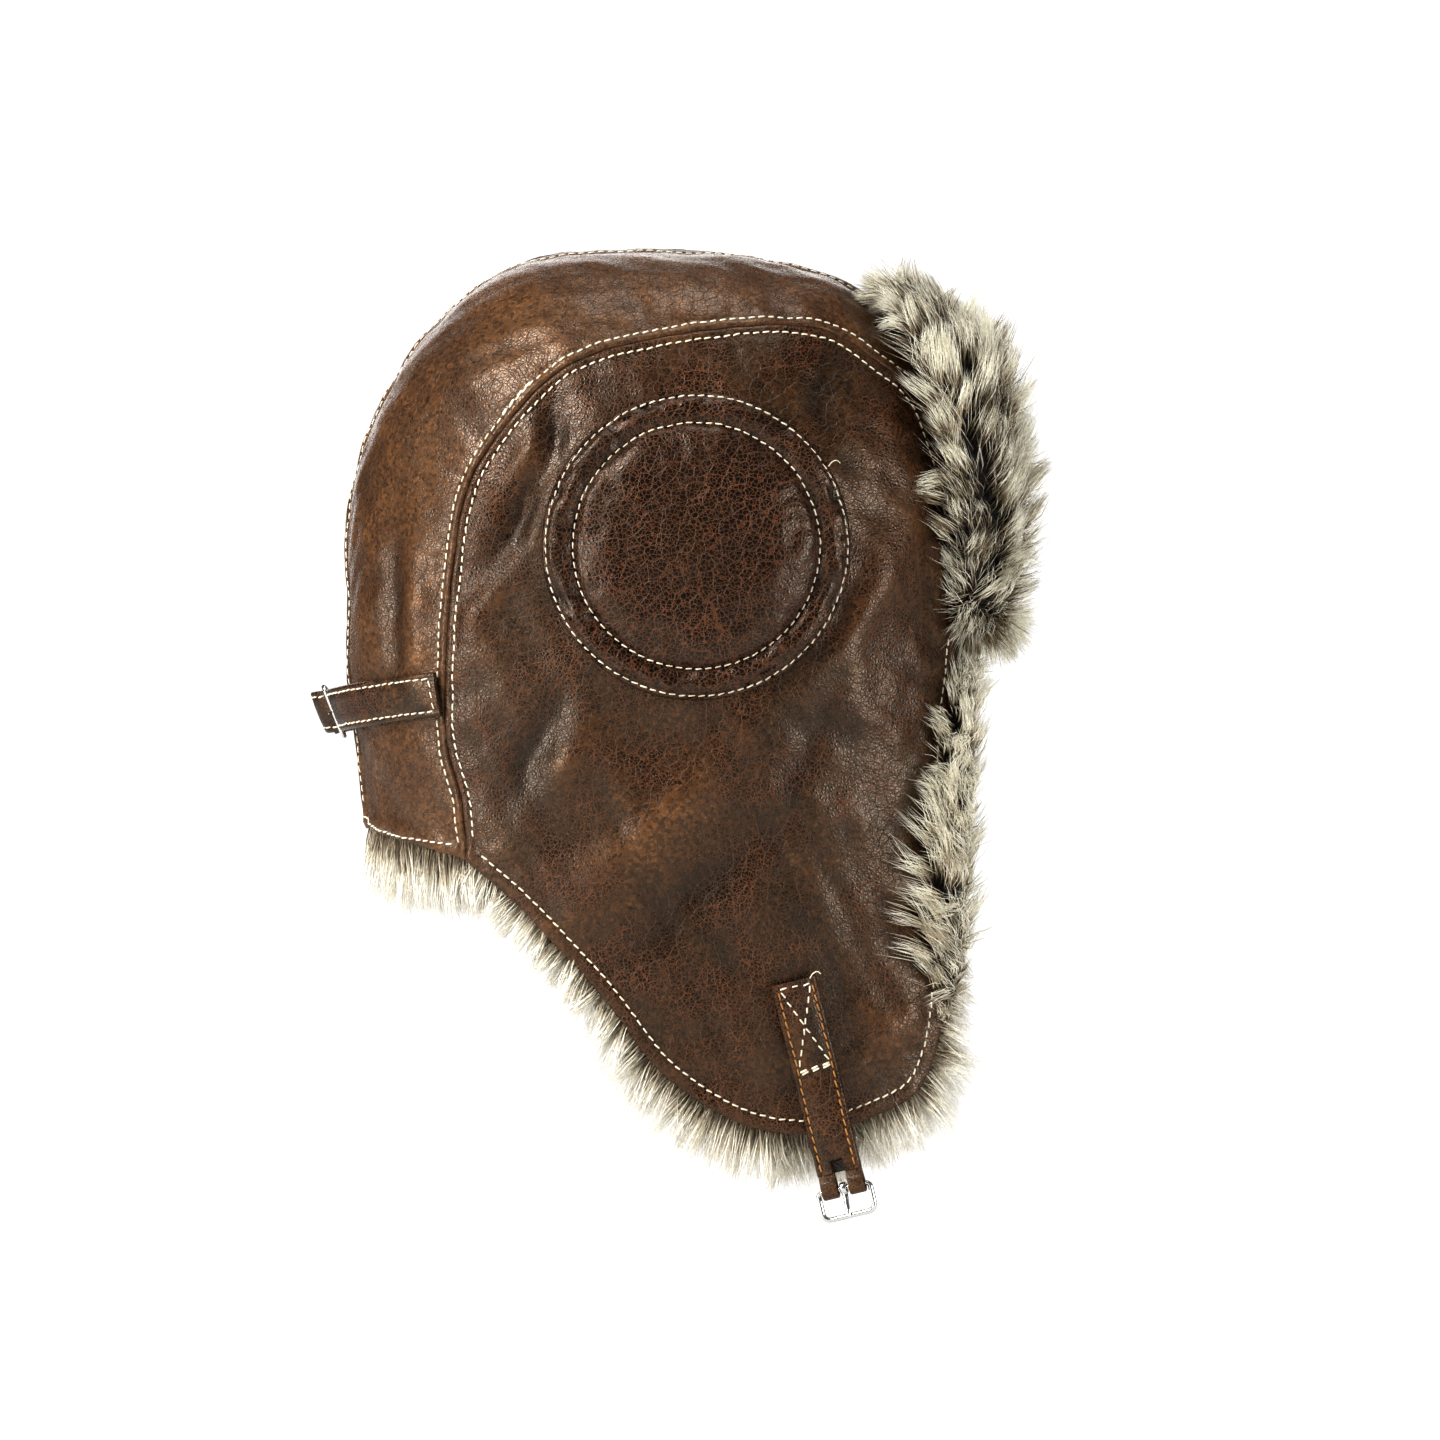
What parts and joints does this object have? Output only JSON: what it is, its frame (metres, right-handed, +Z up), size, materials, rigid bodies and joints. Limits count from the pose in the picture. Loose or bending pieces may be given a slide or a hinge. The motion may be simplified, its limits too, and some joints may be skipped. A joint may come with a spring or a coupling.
{
  "type": "ushanka",
  "caption": "Leather cap with fur lining, turned-up fur visor, hanging ear flaps with padded round patches, a buckled back strap and buckled chin straps.",
  "frame": {"origin": "middle of the head opening at the height of the brow, where a head holds the hat", "axes": "+X to the wearer's front, +Y to the wearer's left, +Z up"},
  "size_m": [0.2604, 0.1964, 0.348],
  "materials": {
    "leather": "worn, finely crackled brown leather with a soft sheen",
    "patch_leather": "darker, finely crackled brown leather",
    "lining_fur": "deep cream pile with grey-brown tips and dark roots",
    "visor_fur": "deep grey-brown pile with cream streaks and dark roots",
    "metal": "polished"
  },
  "bodies": {
    "hat": {"crown_panel_right": "leather", "crown_panel_left": "leather", "side_panel_right": "leather", "side_panel_left": "leather", "ear_patch_right": "patch_leather", "ear_patch_left": "patch_leather", "crown_lining_right": "lining_fur", "crown_lining_left": "lining_fur", "side_lining_right": "lining_fur", "side_lining_left": "lining_fur", "visor_backing": "leather", "visor_fur": "visor_fur", "back_strap_left": "leather", "back_strap_right": "leather", "back_buckle": "metal", "back_prong": "metal", "chin_strap_right": "leather", "chin_strap_left": "leather"},
    "chin_buckle": {"chin_buckle": "metal"},
    "chin_prong": {"chin_prong": "metal"}
  },
  "joints": [
    {"name": "chin_buckle_swing", "type": "hinge", "parent": "hat", "child": "chin_buckle", "pos_m": [0.06921, -0.07773, -0.20236], "axis": [-0.9495, 0.2079, -0.235], "range_deg": [-60, 70]},
    {"name": "chin_prong_swing", "type": "hinge", "parent": "chin_buckle", "child": "chin_prong", "pos_m": [0.06921, -0.07773, -0.20236], "axis": [-0.9495, 0.2079, -0.235], "range_deg": [0, 75]}
  ]
}
